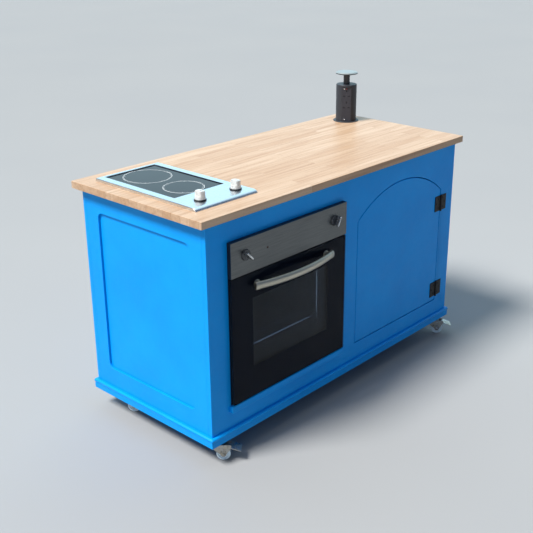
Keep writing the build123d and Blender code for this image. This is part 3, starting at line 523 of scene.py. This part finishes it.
def turn(bm, profile, centre, axis, steps=40, closed=False, stretch=(1, 1)):
    """Revolve (radius, height) points about an axis; closed joins the last to the first."""
    axis = Vector(axis).normalized()
    side, up = across(axis)
    rings = []
    for radius, height in profile:
        middle = Vector(centre) + axis * height
        if radius == 0:
            rings.append([bm.verts.new(middle)])
            continue
        angles = [2 * math.pi * step / steps for step in range(steps)]
        rings.append(
            [
                bm.verts.new(
                    middle
                    + side * radius * stretch[0] * math.cos(angle)
                    + up * radius * stretch[1] * math.sin(angle)
                )
                for angle in angles
            ]
        )
    pairs = list(zip(rings, rings[1:]))
    if closed:
        pairs.append((rings[-1], rings[0]))
    for lower, upper in pairs:
        for step in range(steps):
            ahead = (step + 1) % steps
            corners = [
                lower[step % len(lower)],
                lower[ahead % len(lower)],
                upper[ahead % len(upper)],
                upper[step % len(upper)],
            ]
            bm.faces.new(list(dict.fromkeys(corners)))


def in_mm(profile):
    """A profile written in millimetres, as metres."""
    return [(radius * mm, height * mm) for radius, height in profile]


def ring_mark(bm, centre, radius, width, thickness):
    """A flat printed ring lying on a level surface."""
    inner, outer = radius - width / 2, radius + width / 2
    profile = [(inner, 0), (outer, 0), (outer, thickness), (inner, thickness)]
    turn(bm, profile, centre, upward, steps=96, closed=True)


def stroke(bm, start, end, width, normal, thickness, steps=6):
    """A printed or raised bar with round ends, on a surface with that normal."""
    start, end, normal = Vector(start), Vector(end), Vector(normal).normalized()
    ahead = (end - start).normalized()
    side = normal.cross(ahead)
    outline = []
    for middle, way in ((end, 1), (start, -1)):
        for step in range(steps + 1):
            angle = math.pi * (step / steps - 0.5)
            spoke = ahead * way * math.cos(angle) + side * way * math.sin(angle)
            outline.append(middle + spoke * width / 2)
    low = [bm.verts.new(point) for point in outline]
    high = [bm.verts.new(point + normal * thickness) for point in outline]
    bm.faces.new(low)
    bm.faces.new(high)
    for step in range(len(low)):
        ahead_step = (step + 1) % len(low)
        bm.faces.new([low[step], low[ahead_step], high[ahead_step], high[step]])


def middle_of(node):
    """The middle of a CAD node's box."""
    low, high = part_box(node)
    return (low + high) / 2


# ---------------------------------------------------------------- hob


hob_knobs = ("hob_knob_left", "hob_knob_right")


def level_spoke(angle):
    """The level direction at an angle from +X."""
    return Vector((math.cos(angle), math.sin(angle), 0))


def hob_zone_marks(bm):
    """Two printed cooking zones, each an outer line, an inner line and four ticks."""
    low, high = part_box("hob_glass")
    ink_height = 0.12 * mm
    for radius, y in ((86 * mm, high.y - 95 * mm), (71 * mm, low.y + 80 * mm)):
        centre = Vector(((low.x + high.x) / 2, y, high.z))
        ring_mark(bm, centre, radius, 1.1 * mm, ink_height)
        ring_mark(bm, centre, radius - 3.4 * mm, 0.6 * mm, ink_height)
        for quarter in range(4):
            spoke = level_spoke(math.pi * (quarter / 2 + 0.25))
            inner, outer = centre + spoke * (radius - 9 * mm), centre + spoke * (radius - 5 * mm)
            stroke(bm, inner, outer, 0.8 * mm, upward, ink_height)


def hob_knob_marks(bm):
    """Printed marks round each hob knob: a short one for off, then its settings."""
    frame_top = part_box("hob_frame")[1].z
    for node in hob_knobs:
        centre = middle_of(node)
        centre.z = frame_top
        for step in range(7):
            spoke = level_spoke(math.radians(-90 - 45 * step))
            reach = 25.5 if step else 24.5
            start, end = centre + spoke * 23.5 * mm, centre + spoke * reach * mm
            stroke(bm, start, end, 0.9 * mm, upward, 0.1 * mm)


def hob_knob_pointer(bm, node):
    """The dark line on top of a hob knob, from its middle to the front."""
    centre = middle_of(node)
    centre.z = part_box(node)[1].z
    stroke(bm, centre + Vector((0, -13 * mm, 0)), centre, 1.4 * mm, upward, 0.3 * mm)


make_piece("hob_zone_marks", "cabinet", "hob_ceramic", hob_zone_marks, white_ink)
make_piece("hob_knob_marks", "cabinet", "brushed_steel", hob_knob_marks, dark_ink)
for node in hob_knobs:
    pointer = partial(hob_knob_pointer, node=node)
    make_piece(f"{node}_pointer", node, "silver_plastic", pointer, dark_ink)


# ---------------------------------------------------------------- oven controls

panel_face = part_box("oven_control_panel")[0].y
first_mark, last_mark = -135, 135
knob_turns = {"oven_knob_left": 45, "oven_knob_right": -30}


def dial_direction(degrees):
    """The way from a dial's middle to a mark, turning from the top to the left."""
    angle = math.radians(degrees)
    return Vector((-math.sin(angle), 0, math.cos(angle)))


def oven_dial_marks(bm):
    """Printed marks round both dials: heat steps on one and plain dots on the other."""
    for node, count, length in (("oven_knob_left", 7, 0.2), ("oven_knob_right", 11, 3.2)):
        centre = middle_of(node)
        centre.y = panel_face
        for step in range(count):
            spoke = dial_direction(first_mark + (last_mark - first_mark) * step / (count - 1))
            start = centre + spoke * 27 * mm
            stroke(bm, start, start + spoke * length * mm, 1.5 * mm, outward, 0.1 * mm)


def grip_line(bm, node, degrees):
    """The dark line on an oven knob's grip, pointing where the knob is set."""
    centre = middle_of(node)
    centre.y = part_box(node)[0].y
    spoke = dial_direction(degrees)
    stroke(bm, centre + spoke * 4 * mm, centre + spoke * 15 * mm, 1.2 * mm, outward, 0.2 * mm)


make_piece("oven_dial_marks", "cabinet", "brushed_steel", oven_dial_marks, dark_ink)
for node, degrees in knob_turns.items():
    line = partial(grip_line, node=node, degrees=degrees)
    make_piece(f"{node}_line", node, "chrome", line, dark_ink)


# ---------------------------------------------------------------- oven door

bar_low, bar_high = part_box("oven_handle_bar")
bar_middle = (bar_low + bar_high) / 2
bar_half = Vector((0, 8.5 * mm, 13.5 * mm))
glass_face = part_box("oven_door_glass")[0].y


def glass_print(bm):
    """The black border printed on the back of the door glass, round its clear window."""
    low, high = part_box("oven_door_glass")
    pane_low, pane_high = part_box("oven_inner_glass")
    loops = []
    for lower, upper, inset in ((low, high, 1.2 * mm), (pane_low, pane_high, 13.5 * mm)):
        x, z = (lower.x + inset, upper.x - inset), (lower.z + inset, upper.z - inset)
        loops.append([(x[0], z[0]), (x[1], z[0]), (x[1], z[1]), (x[0], z[1])])
    front, back = [
        [[bm.verts.new((x, high.y - depth, z)) for x, z in loop] for loop in loops]
        for depth in (0.5 * mm, 0.3 * mm)
    ]
    joined = [(front[0], front[1]), (front[0], back[0]), (front[1], back[1]), (back[0], back[1])]
    for first, second in joined:
        for step in range(4):
            ahead = (step + 1) % 4
            bm.faces.new([first[step], first[ahead], second[ahead], second[step]])


def handle_caps(bm):
    """A stepped, chamfered cap over each end of the bowed bar, wide in parts of the bar's half."""
    bow = bar_high.y - bar_low.y - 2 * bar_half.y
    span = (bar_high.x - bar_low.x) / 2
    slope = 2 * math.atan2(bow, span)
    profile = [(0.92, -17), (1.09, -16), (1.09, -1.5), (0.98, 0.6), (0.72, 1.6), (0, 1.8)]
    for way in (-1, 1):
        axis = Vector((way * math.cos(slope), math.sin(slope), 0))
        end_y = bar_high.y - bar_half.y * math.cos(slope)
        end = Vector((bar_middle.x + way * span, end_y, bar_middle.z))
        end.x -= way * bar_half.y * math.sin(slope)
        turn(bm, in_mm(profile), end, axis, steps=48, stretch=(bar_half.y / mm, bar_half.z / mm))


def handle_rosettes(bm):
    """A turned collar where each handle post meets the glass."""
    low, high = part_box("oven_handle_posts")
    post = 10 * mm
    profile = [(10, 0), (14, 0), (14, 1.2), (12.6, 2.4), (10.6, 3), (10, 3)]
    for x in (low.x + post, high.x - post):
        turn(bm, in_mm(profile), (x, glass_face, bar_middle.z), outward, steps=48, closed=True)


make_piece("oven_glass_print", "oven_door", "black_enamel", glass_print, glass_ink)
make_piece("oven_handle_caps", "oven_door", "satin_metal", handle_caps)
make_piece("oven_handle_rosettes", "oven_door", "satin_metal", handle_rosettes)


# ---------------------------------------------------------------- oven inside


def oven_lamp(bm):
    """The round lens of the oven's inside lamp, high on the back wall."""
    runners_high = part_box("oven_shelf_runners")[1]
    back_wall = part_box("oven_wire_shelf")[1].y + 19 * mm
    centre = Vector((runners_high.x - 60 * mm, back_wall, runners_high.z + 25 * mm))
    profile = [(24, 0), (24, 5), (21, 7), (20, 7), (18, 12), (12, 16), (5, 18), (0, 18.4)]
    turn(bm, in_mm(profile), centre, outward, steps=48)


make_piece("oven_inside_lamp", "cabinet", "chrome", oven_lamp)


# ---------------------------------------------------------------- cupboard hinges

hinge_height = 66 * mm


def screw_head(bm, centre, axis, radius):
    """A domed head with a cone-shaped dip in its middle, turned as one profile."""
    steps = 5
    profile = [(radius, 0), (radius, radius * 0.25)]
    for step in range(1, steps):
        angle = math.pi / 2 * step / steps
        profile.append((radius * math.cos(angle), radius * (0.25 + 0.3 * math.sin(angle))))
    profile.append((radius * 0.2, radius * 0.42))
    profile.append((0, radius * 0.2))
    turn(bm, profile, centre, axis, steps=24)


def hinge_screws(bm, way):
    """Three screw heads on each leaf, to one side of the hinge's barrel."""
    pin_low, pin_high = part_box("door_hinge_pins")
    leaf_low, leaf_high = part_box("door_hinge_leaves")
    pin_x = (pin_low.x + pin_high.x) / 2
    face = leaf_high.y - 3 * mm
    for z in (leaf_low.z + hinge_height / 2, leaf_high.z - hinge_height / 2):
        for out, rise in ((16, -20), (30, 0), (16, 20)):
            centre = Vector((pin_x + way * out * mm, face, z + rise * mm))
            screw_head(bm, centre, outward, 4.1 * mm)


def hinge_pin_tips(bm):
    """A small ball on both ends of each hinge pin."""
    low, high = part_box("door_hinge_pins")
    middle = (low + high) / 2
    profile = [(2, -0.6), (3.6, 0), (4.1, 0.9), (3.7, 2), (2.4, 3), (0, 3.5)]
    for bottom in (low.z, high.z - hinge_height):
        turn(bm, in_mm(profile), (middle.x, middle.y, bottom), (0, 0, -1), steps=24)
        turn(bm, in_mm(profile), (middle.x, middle.y, bottom + hinge_height), upward, steps=24)


frame_screws, door_screws = partial(hinge_screws, way=1), partial(hinge_screws, way=-1)
make_piece("hinge_frame_screw_heads", "cabinet", "hinge_black", frame_screws)
make_piece("hinge_door_screw_heads", "cupboard_door", "hinge_black", door_screws)
make_piece("hinge_pin_tips", "cupboard_door", "hinge_black", hinge_pin_tips)


# ---------------------------------------------------------------- socket tower

socket_middle = middle_of("tower_sockets")
tower_middle = middle_of("tower_body")
socket_out = socket_middle - tower_middle
socket_out.z = 0
socket_out.normalize()
socket_side = Vector(upward).cross(socket_out)
socket_low, socket_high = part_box("tower_sockets")
socket_reach = 40.5 * mm
fitting_drop = 7 * mm


def on_socket_plate(side, drop):
    """A point on the face of the socket plate, from its top edge down."""
    point = Vector((tower_middle.x, tower_middle.y, socket_high.z - drop))
    return point + socket_out * socket_reach + socket_side * side


def tower_screws(bm):
    """The plate's two screws, beside its light and at its foot."""
    for drop in (fitting_drop, socket_high.z - socket_low.z - fitting_drop):
        screw_head(bm, on_socket_plate(-10 * mm, drop), socket_out, 3.4 * mm)


def tower_led(bm):
    """The small domed power light at the top of the plate."""
    profile = [(2.2, 0), (2.2, 0.6), (1.6, 1.3), (0, 1.7)]
    turn(bm, in_mm(profile), on_socket_plate(0, fitting_drop), socket_out, steps=24)


def tower_cap_rim(bm):
    """A soft dark tyre round the cap's edge."""
    low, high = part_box("tower_cap")
    centre = Vector((tower_middle.x, tower_middle.y, high.z - 6.2 * mm))
    radius = (high.x - low.x) / 2
    steps = 12
    points = []
    for step in range(steps):
        angle = 2 * math.pi * step / steps
        points.append((radius - 1.6 * mm + 1.5 * mm * math.cos(angle), 2.1 * mm * math.sin(angle)))
    turn(bm, points, centre, upward, steps=72, closed=True)


make_piece("tower_socket_screws", "socket_tower", "chrome", tower_screws)
make_piece("tower_led", "socket_tower", "lamp_lens", tower_led, red_lens)
make_piece("tower_cap_rim", "socket_tower", "black_plastic", tower_cap_rim)


# ---------------------------------------------------------------- casters

joints = {joint["name"]: joint for joint in record["behaviour"]["joints"]}


def joint_place(name):
    """Where a joint's axis passes."""
    return Vector(joints[name]["pos_m"])


def caster_frame(corner):
    """The caster's level directions: along its axle, and the way its wheel trails."""
    axle = Vector(joints[f"{corner}_wheel_spin"]["axis"]).normalized()
    return axle, axle.cross(Vector(upward))


def axle_ends(bm, corner):
    """A domed rivet head over each end of the axle, on a flat washer."""
    axle = caster_frame(corner)[0]
    middle = joint_place(f"{corner}_wheel_spin")
    half_length = 16.2 * mm
    profile = [(7.5, -1.4), (7.5, -0.6), (5.6, -0.6), (5.6, 0.4), (4.6, 1.3), (2.6, 1.9), (0, 2.1)]
    for way in (-1, 1):
        turn(bm, in_mm(profile), middle + axle * way * half_length, axle * way, steps=24)


def ball_race(bm, corner):
    """The pressed ring that holds the swivel's balls, under the plate."""
    centre = joint_place(f"{corner}_swivel")
    centre.z = 66 * mm
    profile = [(20.6, -4), (22.4, -3.4), (23.2, -1.6), (22.6, 0.4), (20.8, 1.4)]
    turn(bm, in_mm(profile), centre, upward, steps=48, closed=True)


def pedal_ribs(bm, corner):
    """Grip ribs across the sloping foot plate."""
    axle, trail = caster_frame(corner)
    run, drop = 33, 12.2
    slope = (trail * run - Vector((0, 0, drop))).normalized()
    normal = (trail * drop + Vector((0, 0, run))).normalized()
    top = joint_place(f"{corner}_brake") + trail * 9 * mm + Vector((0, 0, 2 * mm))
    half_width = axle * 15 * mm
    for step in range(4):
        middle = top + slope * (9 + 6 * step) * mm
        stroke(bm, middle - half_width, middle + half_width, 2.4 * mm, normal, 0.9 * mm)


for corner in ("front_left", "front_right", "back_left", "back_right"):
    fork = f"{corner}_fork"
    make_piece(f"{corner}_axle_ends", fork, "zinc", partial(axle_ends, corner=corner))
    make_piece(f"{corner}_ball_race", fork, "zinc", partial(ball_race, corner=corner))
    if corner.startswith("front"):
        pedal = f"{corner}_brake_pedal"
        make_piece(f"{pedal}_ribs", pedal, "zinc", partial(pedal_ribs, corner=corner))


# ---------------------------------------------------------------- floor, light, camera


def pale_floor():
    """A wide level sheet of matt card."""
    finish = Finish("pale_floor", Specular_IOR_Level=0.2)
    soft = finish.noise(0.8, 2)
    finish.set("Base Color", finish.mix(soft, colour(149, 150, 151), colour(155, 156, 156)))
    finish.set("Roughness", finish.spread(soft, 0.8, 0.9))
    bm = bmesh.new()
    half = 60
    corners = [(-half, -half), (half, -half), (half, half), (-half, half)]
    bm.faces.new([bm.verts.new((x, y, 0)) for x, y in corners])
    mesh = bpy.data.meshes.new("floor")
    bm.to_mesh(mesh)
    bm.free()
    mesh.materials.append(finish.material)
    floor = bpy.data.objects.new("floor", mesh)
    bpy.context.scene.collection.objects.link(floor)


def studio_world():
    """A dim surround with one bright, cool backdrop past the far corner of the island."""
    world = bpy.data.worlds.new("studio")
    bpy.context.scene.world = world
    world.use_nodes = True
    nodes, links = world.node_tree.nodes, world.node_tree.links
    toward = nodes.new("ShaderNodeVectorMath")
    toward.operation = "DOT_PRODUCT"
    toward.inputs[1].default_value = (0.7, 0.66, 0.27)
    links.new(nodes.new("ShaderNodeTexCoord").outputs["Generated"], toward.inputs[0])
    ramp = nodes.new("ShaderNodeValToRGB")
    ramp.color_ramp.elements[0].position = 0.35
    ramp.color_ramp.elements[0].color = (0.08, 0.11, 0.17, 1)
    ramp.color_ramp.elements[1].position = 0.85
    ramp.color_ramp.elements[1].color = (0.6, 0.86, 1.0, 1)
    links.new(toward.outputs["Value"], ramp.inputs[0])
    background = nodes["Background"]
    links.new(ramp.outputs[0], background.inputs["Color"])
    background.inputs["Strength"].default_value = 1.4


def lamp(name, kind, energy, direction, tone, **settings):
    """A light that shines along a direction."""
    data = bpy.data.lights.new(name, kind)
    data.energy = energy
    data.color = tone
    for key, value in settings.items():
        setattr(data, key, value)
    light = bpy.data.objects.new(name, data)
    light.rotation_mode = "QUATERNION"
    light.rotation_quaternion = Vector(direction).to_track_quat("-Z", "Y")
    bpy.context.scene.collection.objects.link(light)
    return light


pale_floor()
studio_world()
lamp("key", "SUN", 5.7, (0.53, -0.18, -0.83), (1.0, 0.98, 0.95), angle=math.radians(18))
top_box = lamp("top_box", "AREA", 38, (0, -0.05, -1), (0.97, 0.98, 1.0), size=4.5)
top_box.location = (-0.2, 0.5, 4.2)
side_box = lamp("side_box", "AREA", 16, (0.94, 0.26, -0.2), (1.0, 0.99, 0.97), size=2.6)
side_box.location = (-4.0, -1.5, 1.1)


def look_from(place, azimuth, elevation, roll, focal_pixels, shift):
    """The camera: azimuth 0 looks along +Y, and elevation is above the horizon."""
    picture_width = 533
    around, above, lean = (math.radians(value) for value in (azimuth, elevation, roll))
    reach = math.cos(above)
    forward = Vector((-math.sin(around) * reach, math.cos(around) * reach, -math.sin(above)))
    level = forward.cross(Vector(upward)).normalized()
    up = level.cross(forward)
    right = level * math.cos(lean) + up * math.sin(lean)
    top = up * math.cos(lean) - level * math.sin(lean)
    data = bpy.data.cameras.new("camera")
    data.sensor_width = 36
    data.lens = focal_pixels / picture_width * data.sensor_width
    data.shift_x, data.shift_y = shift
    camera = bpy.data.objects.new("camera", data)
    bpy.context.scene.collection.objects.link(camera)
    turn_matrix = Matrix((right, top, -forward)).transposed().to_4x4()
    camera.matrix_world = Matrix.Translation(place) @ turn_matrix
    bpy.context.scene.camera = camera


look_from(Vector((-2.502, -2.242, 1.805)), -48.8, 21.2, 0.25, 900, (-0.063, -0.0235))
bpy.context.scene.view_settings.view_transform = "Standard"
